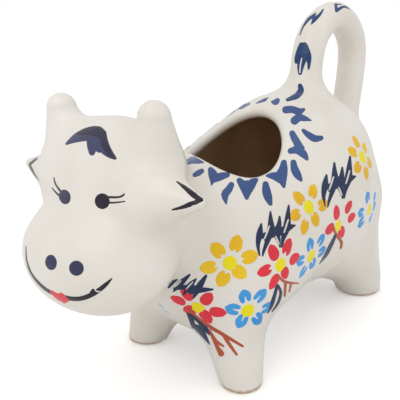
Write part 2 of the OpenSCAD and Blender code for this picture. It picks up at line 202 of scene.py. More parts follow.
def roll(p, a, b, radii):
    """Distance to a roll of clay from a to b that tapers between two radii."""
    way = b - a
    h = np.clip((p - a) @ way / (way @ way), 0, 1)
    return np.linalg.norm(p - a - h[..., None] * way, axis=-1) - (radii[0] + (radii[1] - radii[0]) * h)


def ball(p, centre, radii):
    """Distance to a ball of clay with three radii."""
    q = p - centre
    radii = np.array(radii)
    k = np.linalg.norm(q / radii, axis=-1) + TINY
    return k * (k - 1) / (np.linalg.norm(q / radii ** 2, axis=-1) + TINY)


def trunk_field(p):
    barrel = smooth(roll(p, chest, loin, (CHEST_RADIUS, LOIN_RADIUS)),
                    ball(p, haunch, HAUNCH_RADII), TRUNK_SMOOTHING)
    return smooth(barrel, roll(p, chest, neck, NECK_RADII), TRUNK_SMOOTHING)


def face_field(p, filling=FACE_SMOOTHING):
    brow = p.copy()
    brow[..., 1] = np.sqrt(p[..., 1] ** 2 + BROW_SOFTNESS ** 2)
    face = smooth(roll(brow, skull, skull_end, SKULL_RADII), ball(p, muzzle, MUZZLE_RADII), filling)
    return smooth(face, np.linalg.norm(p - throat, axis=-1) - THROAT_RADIUS, HEAD_SMOOTHING)


def tail_field(p):
    flat = p * place(1, 1 / TAIL_WIDTH_SHARE, 1)
    distance = np.full(p.shape[:-1], FAR)
    reach = 2 * TAIL_SMOOTHING
    near = ((p[..., 2] > rear_root[2] - reach) & (p[..., 0] > front_root[0] - reach)
            & (np.abs(p[..., 1]) < reach))
    some = flat[near]
    count = len(tail_line) - 1
    found = distance[near]
    for i in range(count):
        radii = [TAIL_RADII[0] + (TAIL_RADII[1] - TAIL_RADII[0]) * k / count for k in (i, i + 1)]
        found = np.minimum(found, roll(some, tail_line[i], tail_line[i + 1], radii))
    distance[near] = found
    return distance


def outer_field(p):
    """The creamer's outside, as if it had no opening: negative inside, zero on the skin."""
    q = p.copy()
    q[..., 1] = np.abs(q[..., 1])
    d = smooth(trunk_field(q), face_field(q, CHEEK_FILLING), HEAD_SMOOTHING)
    d = smooth(d, roll(q, horn_root, horn_root + HORN_WAY, HORN_RADII), CROWN_SMOOTHING)
    d = smooth(d, roll(q, ear_root, ear_root + EAR_WAY, EAR_RADII), CROWN_SMOOTHING)
    d = smooth(d, roll(q, front_foot, front_hip, FRONT_RADII), LEG_SMOOTHING)
    leg = smooth(roll(q, rear_foot, rear_hip, REAR_RADII),
                 roll(q, thigh_foot, thigh_top, THIGH_RADII), LEG_SMOOTHING)
    d = smooth(d, leg, THIGH_SMOOTHING)
    d = smooth(d, tail_field(q), TAIL_SMOOTHING)
    over, under = d + FOOT_ROUNDING, FOOT_ROUNDING - p[..., 2]
    return (np.minimum(np.maximum(over, under), 0)
            + np.hypot(np.maximum(over, 0), np.maximum(under, 0)) - FOOT_ROUNDING)


def steepest(field, p):
    """The field's slope at each point."""
    base = [field(p + way * PROBE) - field(p - way * PROBE) for way in np.eye(3)]
    return np.stack(base, -1) / (2 * PROBE)


def settle(field, p, rounds=3):
    """Moves each point onto the field's zero."""
    for _ in range(rounds):
        g = steepest(field, p)
        p = p - g * (field(p) / np.maximum((g * g).sum(-1), LEAST_SLOPE))[..., None]
    return p


def way_out(field, p):
    g = steepest(field, p)
    return g / np.maximum(np.linalg.norm(g, axis=-1, keepdims=True), SLIGHT)


def square_to(way):
    """A level direction square to the way, and the one that is square to both."""
    across = np.cross(place(0, 0, 1), way)
    across /= np.linalg.norm(across)
    return across, np.cross(way, across)


def lip_frame(p):
    """Distance inward from the rim's middle line, along the skin, and off the wall's middle."""
    radii = np.array(OPENING_RADII) + LIP
    q = (p - opening)[..., :2]
    k = np.linalg.norm(q / radii, axis=-1) + TINY
    slope = q / radii ** 2
    steep = np.linalg.norm(slope, axis=-1, keepdims=True) + TINY
    level = k * (1 - k) / steep[..., 0]
    off = trunk_field(p) + LIP
    lean = -(slope / steep * way_out(trunk_field, p)[..., :2]).sum(-1)
    lean = np.clip(lean, -STEEPEST_LEAN, STEEPEST_LEAN)
    return (level - off * lean) / np.sqrt(1 - lean * lean), off


def hollow_field(p):
    """The inside: the trunk's hollow, the head's, the bore between them and the pour hole."""
    trunk = trunk_field(p)
    head = np.maximum(smooth(trunk, face_field(p), HEAD_SMOOTHING) + WALL, -trunk)
    bore = roll(p, neck, neck + neck_way * (NECK_RADII[1] - WALL), (BORE_RADIUS, BORE_RADIUS))
    pour = -place(math.cos(POUR_TILT), 0, math.sin(POUR_TILT))
    hole = roll(p, muzzle, muzzle + pour * MUZZLE_RADII[0] * 2, (POUR_RADIUS, POUR_RADIUS))
    inside = smooth(np.minimum(trunk + WALL, head), bore, BORE_ROUNDING)
    return smooth(inside, hole, BORE_ROUNDING)


def clay_field(p):
    """The whole creamer with its hollow, and the fill opening with its rolled lip."""
    d = np.maximum(outer_field(p), -hollow_field(p))
    q = (p - opening)[..., :2]
    reach = np.linalg.norm(q / (np.array(OPENING_RADII) + LIP), axis=-1)
    near = (reach < LIP_REACH_SHARE) & (p[..., 2] > loin[2])
    some = p[near]
    inward, off = lip_frame(some)
    d[near] = np.where(inward > 0, np.hypot(inward, off) - LIP, d[near])
    return d


def surface_net(field, low, high, pitch):
    """A closed mesh of quads over the field's zero, one point for each mixed cell of a grid."""
    axes = [np.arange(a, b + pitch, pitch) for a, b in zip(low, high)]
    value = np.empty([len(a) for a in axes])
    for i, x in enumerate(axes[0]):
        slab = np.stack(np.meshgrid([x], axes[1], axes[2], indexing="ij"), -1)[0]
        value[i] = field(slab.reshape(-1, 3)).reshape(slab.shape[:2])
    inside = value < 0
    shape = np.array(inside.shape) - 1
    corners = [np.array([i, j, k]) for i in (0, 1) for j in (0, 1) for k in (0, 1)]
    filled = sum(inside[tuple(slice(c, c + n) for c, n in zip(corner, shape))].astype(int)
                 for corner in corners)
    mixed = (filled > 0) & (filled < len(corners))
    number = np.full(mixed.shape, -1)
    number[mixed] = np.arange(mixed.sum())
    cell = np.argwhere(mixed)
    total = np.zeros((len(cell), 3))
    hits = np.zeros(len(cell))
    for a in corners:
        for b in corners:
            if (b - a).sum() != 1 or (b - a).min() < 0:
                continue
            va = value[tuple((cell + a).T)]
            vb = value[tuple((cell + b).T)]
            cross = (va < 0) != (vb < 0)
            t = np.where(cross, va / np.where(cross, va - vb, 1), 0)
            total += cross[:, None] * (cell + a + t[:, None] * (b - a))
            hits += cross
    points = np.array(low) + pitch * total / hits[:, None]
    quads = []
    for axis in range(3):
        u, v, w = np.eye(3, dtype=int)[[(axis + 1) % 3, (axis + 2) % 3, axis]]
        at = cell[(cell @ u > 0) & (cell @ v > 0)]
        first = inside[tuple(at.T)]
        second = inside[tuple((at + w).T)]
        at, first = at[first != second], first[first != second]
        ring = [number[tuple((at + s).T)] for s in (-u - v, -v, 0 * u, -u)]
        ring = np.stack(ring, -1)
        ring[~first] = ring[~first][:, ::-1]
        quads.append(ring)
    return points, np.concatenate(quads)


def relaxed(points, quads, field):
    """Evens out the quads along the skin and settles the points onto it again."""
    ends = np.concatenate([quads[:, [k, (k + 1) % 4]] for k in range(4)])
    count = np.bincount(ends[:, 0], minlength=len(points))[:, None]
    for _ in range(EVENING_ROUNDS):
        mean = np.stack([np.bincount(ends[:, 0], points[ends[:, 1], k], len(points))
                         for k in range(3)], -1) / count
        out = way_out(field, points)
        shift = mean - points
        points = points + EVENING_SHARE * (shift - out * (shift * out).sum(-1, keepdims=True))
        points = settle(field, points, rounds=1)
    return points


def new_object(name, points, faces, **attributes):
    """A smooth-shaded mesh object at the origin, with its place in its points, in metres."""
    mesh = bpy.data.meshes.new(name)
    mesh.from_pydata((np.asarray(points) * MM).tolist(), [], np.asarray(faces).tolist())
    for key, values in attributes.items():
        values = np.asarray(values, float)
        kind = "FLOAT" if values.ndim == 1 else "FLOAT_VECTOR"
        layer = mesh.attributes.new(key, kind, "POINT")
        layer.data.foreach_set("value" if values.ndim == 1 else "vector", values.ravel())
    mesh.polygons.foreach_set("use_smooth", [True] * len(mesh.polygons))
    mesh.update()
    made = bpy.data.objects.new(name, mesh)
    bpy.context.scene.collection.objects.link(made)
    return made


def step_up(value, low, high):
    """A share that climbs smoothly from 0 at the low value to 1 at the high one."""
    t = np.clip((value - low) / (high - low), 0, 1)
    return t * t * (3 - 2 * t)


# The camera stands where the photograph was taken
AZIMUTH = math.radians(-49.9)
ELEVATION = math.radians(13.7)
TARGET = place(-5.8, 0, 55.3)
DISTANCE = 184.5
LENS = 48.4
SENSOR = 36.0
FRAME_PIXELS = 400
SHIFT = (-0.083, -0.035)

# A line of sight walks to the skin in shares of the distance left, and misses it past this
MARCH_STEPS = 90
MARCH_SHARE = 0.85
MARCH_START = DISTANCE / 3
MISS = 0.3
BEYOND = DISTANCE * 1.5

back = place(math.sin(AZIMUTH) * math.cos(ELEVATION), -math.cos(AZIMUTH) * math.cos(ELEVATION),
             math.sin(ELEVATION))
right = place(math.cos(AZIMUTH), math.sin(AZIMUTH), 0)
up = np.cross(back, right)
eye = TARGET + back * DISTANCE
FOCAL = LENS / SENSOR * FRAME_PIXELS


def stand(made, spot, across, over, way):
    """Puts a camera or a lamp in the scene, at a spot and turned to three directions."""
    turn = Matrix([[across[k], over[k], way[k]] for k in range(3)]).to_4x4()
    made.matrix_world = Matrix.Translation((spot * MM).tolist()) @ turn
    bpy.context.scene.collection.objects.link(made)


def make_camera():
    data = bpy.data.cameras.new("camera")
    data.lens = LENS
    data.sensor_width = SENSOR
    data.shift_x, data.shift_y = SHIFT
    data.clip_start = MM
    camera = bpy.data.objects.new("camera", data)
    stand(camera, eye, right, up, back)
    bpy.context.scene.camera = camera


def rays(pixels):
    """The directions in which the camera sees pixels of the 400 by 400 photograph."""
    pixels = np.atleast_2d(np.array(pixels, float))
    middle = FRAME_PIXELS / 2
    x = (pixels[:, 0] - middle) / FOCAL + SHIFT[0] * FRAME_PIXELS / FOCAL
    y = -(pixels[:, 1] - middle) / FOCAL + SHIFT[1] * FRAME_PIXELS / FOCAL
    way = x[:, None] * right + y[:, None] * up - back
    return way / np.linalg.norm(way, axis=1)[:, None]


def seen(pixels):
    """The places on the skin under pixels of the photograph."""
    way = rays(pixels)
    t = np.full(len(way), MARCH_START)
    for _ in range(MARCH_STEPS):
        t = t + outer_field(eye + way * t[:, None]) * MARCH_SHARE
    return settle(outer_field, eye + way * t[:, None], rounds=2)


def facing(pixels):
    """How squarely the skin under each pixel faces the camera, or -1 where a pixel misses it."""
    way = rays(pixels)
    spots = seen(pixels)
    off = spots - eye
    missed = np.linalg.norm(np.cross(off, way), axis=1) > MISS
    missed |= np.linalg.norm(off, axis=1) > BEYOND
    return np.where(missed, -1.0, -(way_out(outer_field, spots) * way).sum(-1))


# Marks: every brushed mark is a field in its own plane, cut out as a thin closed body of paint
PAINT_LIFT = 0.08
PAINT_SINK = 0.03
PAINT_DEPTH = 0.14
PAINT_SOFTNESS = 0.3
OVERLAP_LIFT = 0.04
INK_POOLING = 0.3
STROKE_STEPS = 3
ROW_SHARE = 0.87
STAMP_STEP = 0.45
STAMP_REACH = 5.0
LEAST_DEPTH = 1e-3
EVEN_SHADE = 0.5

# Paint stops where the skin turns this far from the camera, at an edge this steep
GRAZING = 0.07
GRAZING_SLOPE = 2
NEAR_STEPS = 2


def brushed(strokes, bare=()):
    """A field of strokes, less those left bare, and its corners. A stroke is places with widths."""
    lines = [bent(s, STROKE_STEPS) for s in strokes]
    left = brushed(bare)[0] if bare else None

    def field(p):
        d = np.full(len(p), FAR)
        for line in lines:
            own = np.full(len(p), FAR)
            for a, b in zip(line[:-1], line[1:]):
                if np.linalg.norm(b[:2] - a[:2]) > SLIGHT:
                    own = np.minimum(own, roll(p, a[:2], b[:2], (a[2] / 2, b[2] / 2)))
            d = smooth(d, own, INK_POOLING)
        return np.maximum(d, -left(p)) if bare else d

    ends = np.concatenate([line[:, :2] for line in lines])
    reach = max(line[:, 2].max() for line in lines)
    return field, ends.min(0) - reach, ends.max(0) + reach


def cut_out(field, low, high, step):
    """Triangles that fill a mark, with the points of its outline on the outline."""
    rows = np.arange(low[1], high[1] + step, step * ROW_SHARE)
    columns = np.arange(low[0], high[0] + step, step)
    x = columns[None, :] + (np.arange(len(rows)) % 2)[:, None] * step / 2
    points = np.stack([x, np.repeat(rows[:, None], len(columns), 1)], -1).reshape(-1, 2)
    value = field(points)
    wide = len(columns)
    triangles = []
    for j in range(len(rows) - 1):
        for i in range(wide - 1):
            a, b = j * wide + i, j * wide + i + 1
            c, d = a + wide, b + wide
            pair = ((a, b, d), (a, d, c)) if j % 2 else ((a, b, c), (b, d, c))
            if min(value[a], value[b], value[c], value[d]) < 0:
                triangles += pair
    places, depth, known = [], [], {}

    def corner(k):
        if k not in known:
            known[k] = len(places)
            places.append(points[k])
            depth.append(max(-value[k], LEAST_DEPTH))
        return known[k]

    def crossing(k, m):
        key = (min(k, m), max(k, m))
        if key not in known:
            known[key] = len(places)
            t = value[k] / (value[k] - value[m])
            places.append(points[k] + (points[m] - points[k]) * t)
            depth.append(0.0)
        return known[key]

    faces = []
    for triangle in triangles:
        within = [value[k] < 0 for k in triangle]
        if not any(within):
            continue
        ring = []
        for k in range(3):
            here, after = triangle[k], triangle[(k + 1) % 3]
            if value[here] < 0:
                ring.append(corner(here))
            if (value[here] < 0) != (value[after] < 0):
                ring.append(crossing(here, after))
        start = next(k for k in range(len(ring)) if depth[ring[k]] > 0)
        ring = ring[start:] + ring[:start]
        faces += [(ring[0], ring[k], ring[k + 1]) for k in range(1, len(ring) - 1)]
    return np.array(places), np.array(faces), np.array(depth)


def thin_body(faces, depth, lift):
    """Which place each point of a closed thin body takes, its faces and its heights."""
    inner = depth > 0
    below = np.full(len(depth), -1)
    below[inner] = len(depth) + np.arange(inner.sum())
    below[~inner] = np.arange(len(depth))[~inner]
    source = np.concatenate([np.arange(len(depth)), np.arange(len(depth))[inner]])
    top = -PAINT_SINK + (lift + PAINT_SINK) * np.sqrt(np.clip(depth / PAINT_SOFTNESS, 0, 1))
    height = np.concatenate([top, np.full(inner.sum(), -PAINT_DEPTH)])
    both = np.concatenate([faces, below[faces][:, ::-1]])
    return source, both, height


def drawn(skin_tree, strokes, bare, step, lift, mirrored):
    """Marks brushed as the photograph's view shows them, laid on the skin under that view."""
    stroke_field, low, high = brushed(strokes, bare)

    def field(p):
        d = stroke_field(p)
        near = d < step * NEAR_STEPS
        d[near] = np.maximum(d[near], (GRAZING - facing(p[near])) * GRAZING_SLOPE)
        return d

    places, faces, depth = cut_out(field, low, high, step)
    on_skin = seen(places)
    out = way_out(outer_field, on_skin)
    on_skin = np.array([skin_tree.find_nearest(p)[0] for p in on_skin.tolist()])
    scale = np.linalg.norm(on_skin - eye, axis=1).mean() / FOCAL
    source, faces, height = thin_body(faces, depth * scale, lift)
    points = on_skin[source] + out[source] * height[:, None]
    edge = np.clip(depth[source] * scale / PAINT_SOFTNESS, 0, 1)
    made = [(points, faces, edge)]
    if mirrored:
        made.append((points * MIRROR, faces[:, ::-1], edge))
    return made


def joined(name, parts):
    """One object from several thin bodies."""
    start, points, faces, edges = 0, [], [], []
    for p, f, e in parts:
        points.append(p)
        faces.append(f + start)
        edges.append(e)
        start += len(p)
    edges = np.concatenate(edges)
    return new_object(name, np.concatenate(points), np.concatenate(faces), edge=edges,
                      shade=np.full(len(edges), EVEN_SHADE))


def stamp(name, field):
    """A mark in its own plane, up along +Y, for the wrapping tree to lay on the skin."""
    places, faces, depth = cut_out(field, [-STAMP_REACH] * 2, [STAMP_REACH] * 2, STAMP_STEP)
    source, faces, height = thin_body(faces, depth, PAINT_LIFT)
    flat = np.concatenate([places[source], np.zeros((len(source), 1))], 1)
    return new_object(name, flat, faces, edge=np.clip(depth[source] / PAINT_SOFTNESS, 0, 1),
                      height=height * MM)


def build(tree, kind, inputs=None, **settings):
    """A node with its settings, its inputs set or linked."""
    made = tree.nodes.new(kind)
    for key, value in settings.items():
        setattr(made, key, value)
    for key, value in (inputs or {}).items():
        socket = made.inputs[key]
        if isinstance(value, bpy.types.NodeSocket):
            tree.links.new(value, socket)
        else:
            socket.default_value = value
    return made


def worked(tree, operation, first, second):
    """The sum or the product of two values."""
    return build(tree, "ShaderNodeMath", {0: first, 1: second}, operation=operation).outputs[0]


def blended(tree, share, first, second):
    """A colour that goes from the first to the second with the share."""
    return build(tree, "ShaderNodeMix", {0: share, 6: first, 7: second}, data_type="RGBA").outputs[2]


def mask(tree, name):
    """A value that the piece's mesh holds at each point."""
    return build(tree, "ShaderNodeAttribute", attribute_name=name).outputs["Fac"]


# Each chance in the stamps draws from its own seed
TURN_DRAW, SIZE_DRAW, SHADE_DRAW = 1, 2, 3
PETAL_SEED = 3


def wrapping_tree():
    """Stamps a mark at each point, turned to the skin, and wraps it down onto the skin."""
    tree = bpy.data.node_groups.new("Wrapped marks", "GeometryNodeTree")
    sockets = (("Geometry", "NodeSocketGeometry"), ("Skin", "NodeSocketObject"),
               ("Mark", "NodeSocketObject"), ("Paint", "NodeSocketMaterial"),
               ("Seed", "NodeSocketInt"), ("Turn spread", "NodeSocketFloat"),
               ("Size spread", "NodeSocketFloat"))
    for name, kind in sockets:
        tree.interface.new_socket(name, in_out="INPUT", socket_type=kind)
    tree.interface.new_socket("Geometry", in_out="OUTPUT", socket_type="NodeSocketGeometry")
    given = build(tree, "NodeGroupInput").outputs
    skin = build(tree, "GeometryNodeObjectInfo", {"Object": given["Skin"]}).outputs["Geometry"]
    mark = build(tree, "GeometryNodeObjectInfo", {"Object": given["Mark"]}).outputs["Geometry"]

    def kept(name, kind="FLOAT_VECTOR"):
        return build(tree, "GeometryNodeInputNamedAttribute", {"Name": name},
                     data_type=kind).outputs["Attribute"]

    def skin_way(position):
        return build(tree, "GeometryNodeSampleNearestSurface",
                     {"Mesh": skin, "Value": kept("skin_way"), "Sample Position": position},
                     data_type="FLOAT_VECTOR").outputs["Value"]

    def chance(low, high, seed_step):
        seed = worked(tree, "ADD", given["Seed"], seed_step)
        return build(tree, "FunctionNodeRandomValue", {"Min": low, "Max": high, "Seed": seed},
                     data_type="FLOAT").outputs["Value"]

    def signed(value):
        return worked(tree, "MULTIPLY", value, -1.0), value

    here = build(tree, "GeometryNodeInputPosition").outputs[0]
    turned = build(tree, "FunctionNodeAxesToRotation",
                   {"Primary Axis": skin_way(here), "Secondary Axis": kept("heading")},
                   primary_axis="Z", secondary_axis="Y").outputs[0]
    low, high = signed(given["Turn spread"])
    spin = build(tree, "ShaderNodeCombineXYZ", {"Z": chance(low, high, TURN_DRAW)}).outputs[0]
    spin = build(tree, "FunctionNodeEulerToRotation", {0: spin}).outputs[0]
    turned = build(tree, "FunctionNodeRotateRotation", {"Rotation": turned, "Rotate By": spin},
                   rotation_space="LOCAL").outputs[0]
    low, high = signed(given["Size spread"])
    factor = worked(tree, "ADD", chance(low, high, SIZE_DRAW), 1.0)
    size = build(tree, "ShaderNodeVectorMath", {0: kept("stretch"), "Scale": factor},
                 operation="SCALE").outputs[0]
    placed = build(tree, "GeometryNodeInstanceOnPoints",
                   {"Points": given["Geometry"], "Instance": mark, "Rotation": turned,
                    "Scale": size}).outputs[0]
    shaded = build(tree, "GeometryNodeStoreNamedAttribute",
                   {"Geometry": placed, "Name": "shade", "Value": chance(0.0, 1.0, SHADE_DRAW)},
                   data_type="FLOAT", domain="INSTANCE").outputs[0]
    real = build(tree, "GeometryNodeRealizeInstances", {0: shaded}).outputs[0]
    nearest = build(tree, "GeometryNodeProximity", {0: skin},
                    target_element="FACES").outputs["Position"]
    raised = build(tree, "ShaderNodeVectorMath",
                   {0: skin_way(nearest), "Scale": kept("height", "FLOAT")}, operation="SCALE")
    landed = build(tree, "ShaderNodeVectorMath", {0: nearest, 1: raised.outputs[0]}, operation="ADD")
    wrapped = build(tree, "GeometryNodeSetPosition", {"Geometry": real, "Position": landed.outputs[0]})
    soft = build(tree, "GeometryNodeSetShadeSmooth", {0: wrapped.outputs[0]})
    painted = build(tree, "GeometryNodeSetMaterial", {0: soft.outputs[0], "Material": given["Paint"]})
    build(tree, "NodeGroupOutput", {0: painted.outputs[0]})
    return tree


def stamped(name, tree, skin, mark, paint, places, turn, spread):
    """Marks at many places as one plain mesh. A place is a point, a heading and a stretch."""
    points = np.array([p[0] for p in places])
    headings = np.array([p[1] for p in places])
    stretch = np.array([[p[2][0], p[2][1], 1.0] for p in places])
    made = new_object(name, points, np.zeros((0, 3), int), heading=headings, stretch=stretch)
    modifier = made.modifiers.new("wrap", "NODES")
    modifier.node_group = tree
    values = {"Skin": skin, "Mark": mark, "Paint": paint, "Seed": PETAL_SEED,
              "Turn spread": turn, "Size spread": spread}
    for item in tree.interface.items_tree:
        if item.in_out == "INPUT" and item.name in values:
            modifier[item.identifier] = values[item.name]
    made.data.update()
    ready = made.evaluated_get(bpy.context.evaluated_depsgraph_get())
    mesh = bpy.data.meshes.new_from_object(ready)
    made.modifiers.clear()
    made.data = mesh
    return made


# Finishes. The first four say where the skin turns white, brown and bare, in millimetres from the
# rim, the skin and the ground. The scales of cloud, grain and peel are per metre.
RIM_WHITE = (0.8, 4.5)
RIM_REACH = OPENING_RADII[0] + 2 * WALL
INNER_DEPTHS = (LIP / 2, LIP * 1.5)
FOOT_BARE = (0.5, 1.3)
CLOUD_SCALE = 38.0
CLOUD_DETAIL = 4.0
CLOUD_ROUGHNESS = 0.55
CLOUD_RANGE = (0.35, 0.7)
GRAIN_SCALE = 420.0
PEEL_SCALE = 150.0
FINE_DETAIL = 2.0
GLOSS_RANGE = (0.26, 0.36)
PEEL_DEPTH = 0.4
PEEL = 0.12
OUTSIDE_UNEVENNESS = 0.6
STRONG_UNEVENNESS = 0.9
CLAY_ROUGHNESS = 0.7
SHADE_SHARE = 0.45
FADING_WIDTH = 0.5
EDGE_FADING = 0.55
FACE_FADING = 0.1
GLAZE_IOR = 1.4

# The curve between a screen's colours and the scene's
CURVE_START = 0.04045
CURVE_SLOPE = 12.92
CURVE_OFFSET = 0.055
CURVE_POWER = 2.4


def glaze_group(name):
    """A shader group for fired glaze: uneven tone from the kiln and a fine orange-peel surface."""
    tree = bpy.data.node_groups.new(name, "ShaderNodeTree")
    for label, kind in (("Colour", "NodeSocketColor"), ("Deep colour", "NodeSocketColor"),
                        ("Unevenness", "NodeSocketFloat"), ("Peel", "NodeSocketFloat")):
        tree.interface.new_socket(label, in_out="INPUT", socket_type=kind)
    for label, kind in (("Colour", "NodeSocketColor"), ("Roughness", "NodeSocketFloat"),
                        ("Normal", "NodeSocketVector")):
        tree.interface.new_socket(label, in_out="OUTPUT", socket_type=kind)
    given = build(tree, "NodeGroupInput").outputs
    place_in = build(tree, "ShaderNodeTexCoord").outputs["Object"]

    def noise(**settings):
        return build(tree, "ShaderNodeTexNoise", {"Vector": place_in, **settings}).outputs[0]

    cloud = noise(Scale=CLOUD_SCALE, Detail=CLOUD_DETAIL, Roughness=CLOUD_ROUGHNESS)
    low, high = CLOUD_RANGE
    share = build(tree, "ShaderNodeMapRange", {0: cloud, 1: low, 2: high}).outputs[0]
    tone = blended(tree, worked(tree, "MULTIPLY", share, given["Unevenness"]), given["Colour"],
                   given["Deep colour"])
    low, high = GLOSS_RANGE
    grain = noise(Scale=GRAIN_SCALE, Detail=FINE_DETAIL)
    rough = build(tree, "ShaderNodeMapRange", {0: grain, 3: low, 4: high}).outputs[0]
    peel = noise(Scale=PEEL_SCALE, Detail=FINE_DETAIL)
    bump = build(tree, "ShaderNodeBump",
                 {"Strength": given["Peel"], "Distance": PEEL_DEPTH * MM, "Height": peel}).outputs[0]
    build(tree, "NodeGroupOutput", {0: tone, 1: rough, 2: bump})
    return tree


def tint(code):
    """A scene colour from the hex code that it shows on screen, by the sRGB curve."""
    parts = [int(code[k:k + 2], 16) / 255 for k in (1, 3, 5)]
    return tuple([c / CURVE_SLOPE if c < CURVE_START
                  else ((c + CURVE_OFFSET) / (1 + CURVE_OFFSET)) ** CURVE_POWER for c in parts] + [1.0])


def new_material(name):
    made = bpy.data.materials.new(name)
    made.use_nodes = True
    tree = made.node_tree
    tree.nodes.clear()
    shader = build(tree, "ShaderNodeBsdfPrincipled")
    build(tree, "ShaderNodeOutputMaterial", {"Surface": shader.outputs[0]})
    return made, tree, shader


def fire(tree, shader, colour, rough, normal):
    """Joins a fired surface to its shader."""
    for name, source in (("Base Color", colour), ("Roughness", rough), ("Normal", normal)):
        tree.links.new(source, shader.inputs[name])
    shader.inputs["IOR"].default_value = GLAZE_IOR


def fired(tree, group, colour, deep, unevenness):
    """A glaze or a paint out of the kiln: its colour, roughness and normal."""
    return build(tree, "ShaderNodeGroup", {"Colour": colour, "Deep colour": deep,
                                           "Unevenness": unevenness, "Peel": PEEL},
                 node_tree=group).outputs


# Glaze, the brown of the hollow and bare clay
GLAZE = tint("#e6e2dc")
GLAZE_DEEP = tint("#d9d2c6")
INNER = tint("#c9ae90")
INNER_DEEP = tint("#b09068")
CLAY = tint("#b58a58")


def glaze_material(group):
    """Cream glaze that thins to bare tan clay on the foot edges and turns brown in the hollow."""
    made, tree, shader = new_material("cream glaze")
    outside = fired(tree, group, GLAZE, GLAZE_DEEP, OUTSIDE_UNEVENNESS)
    inside = fired(tree, group, INNER, INNER_DEEP, STRONG_UNEVENNESS)
    foot = mask(tree, "foot")
    glaze = blended(tree, mask(tree, "inner"), outside[0], inside[0])
    rough = build(tree, "ShaderNodeMix", {0: foot, 2: outside[1], 3: CLAY_ROUGHNESS}).outputs[0]
    fire(tree, shader, blended(tree, foot, glaze, CLAY), rough, outside[2])
    return made


def paint_material(name, colour, deep, group, edge_fading=EDGE_FADING):
    """Underglaze paint: streaked by the brush, thinner and blending into the glaze at its edge."""
    made, tree, shader = new_material(name)
    body = fired(tree, group, tint(colour), tint(deep), STRONG_UNEVENNESS)
    part = worked(tree, "MULTIPLY", mask(tree, "shade"), SHADE_SHARE)
    own = blended(tree, part, body[0], tint(deep))
    thin = build(tree, "ShaderNodeMapRange",
                 {0: mask(tree, "edge"), 1: 0.0, 2: FADING_WIDTH, 3: edge_fading, 4: 0.0}).outputs[0]
    fire(tree, shader, blended(tree, thin, own, GLAZE), body[1], body[2])
    return made


def make_skin(material):
    """One closed skin of glaze over all the clay, with what its material and the marks need."""
    margin = 2 * PITCH
    low = np.array(cad_low) / MM - margin
    high = np.array(cad_high) / MM + margin
    points, quads = surface_net(clay_field, low, high, PITCH)
    points = relaxed(points, quads, clay_field)
    points = np.clip(points, low + margin, high - margin)
    deep = -outer_field(points)
    inner = step_up(deep, *INNER_DEPTHS)
    near = (points[:, 2] > loin[2]) & (np.abs(points[:, 0] - opening[0]) < RIM_REACH)
    inward, _ = lip_frame(points)
    inner = np.where(near, inner * step_up(-inward, *RIM_WHITE), inner)
    skin = new_object("glazed_skin", points, quads, inner=inner,
                      foot=1 - step_up(points[:, 2], *FOOT_BARE),
                      skin_way=way_out(outer_field, points))
    skin.data.normals_split_custom_set_from_vertices(way_out(clay_field, points).tolist())
    skin.data.materials.append(material)
    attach(skin, "root")
    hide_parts(*NODES)
    return skin, BVHTree.FromPolygons(points.tolist(), quads.tolist())


# The studio: each lamp by its side, rise and way towards the camera, distance, size and watts
GROUND_SIZE = 6000.0
LAMPS = (("key", (-0.5, 0.7, 0.9), 520.0, 420.0, 0.6),
         ("fill", (0.9, 0.3, 0.5), 560.0, 420.0, 0.2))
FLOOR_GLOW = 0.3
ROOM_LIGHT = 0.92


def make_floor():
    """A pale ground that reads white in the picture and still takes the shadow."""
    made, tree, shader = new_material("ground")
    shader.inputs["Base Color"].default_value = tint("#f4f4f4")
    shader.inputs["Roughness"].default_value = 1.0
    shader.inputs["Specular IOR Level"].default_value = 0.0
    in_camera = build(tree, "ShaderNodeLightPath").outputs["Is Camera Ray"]
    shader.inputs["Emission Color"].default_value = (1, 1, 1, 1)
    tree.links.new(worked(tree, "MULTIPLY", in_camera, FLOOR_GLOW),
                   shader.inputs["Emission Strength"])
    size = GROUND_SIZE
    corners = [(-size, -size, 0), (size, -size, 0), (size, size, 0), (-size, size, 0)]
    ground = new_object("ground", corners, [(0, 1, 2, 3)])
    ground.data.materials.append(made)


def make_light():
    """A bright plain room and two soft boxes, the larger one up by the camera's left."""
    world = bpy.data.worlds.new("studio")
    bpy.context.scene.world = world
    world.use_nodes = True
    tree = world.node_tree
    tree.nodes.clear()
    in_camera = build(tree, "ShaderNodeLightPath").outputs["Is Camera Ray"]
    seen_white = build(tree, "ShaderNodeBackground", {"Color": (1, 1, 1, 1), "Strength": 1.0})
    room = build(tree, "ShaderNodeBackground", {"Color": tint("#f2f1ef"), "Strength": ROOM_LIGHT})
    mixed = build(tree, "ShaderNodeMixShader",
                  {0: in_camera, 1: room.outputs[0], 2: seen_white.outputs[0]})
    build(tree, "ShaderNodeOutputWorld", {"Surface": mixed.outputs[0]})
    middle = (np.array(cad_low) + np.array(cad_high)) / 2 / MM
    for name, (side, rise, ahead), distance, size, watts in LAMPS:
        way = side * right + rise * up + ahead * back
        way /= np.linalg.norm(way)
        lamp = bpy.data.lights.new(name, "AREA")
        lamp.shape = "DISK"
        lamp.size = size * MM
        lamp.energy = watts
        across, over = square_to(way)
        stand(bpy.data.objects.new(name, lamp), middle + way * distance, across, over, way)


def finished(piece, material=None):
    """Gives a piece its body and its material."""
    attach(piece, "root")
    if material:
        piece.data.materials.clear()
        piece.data.materials.append(material)


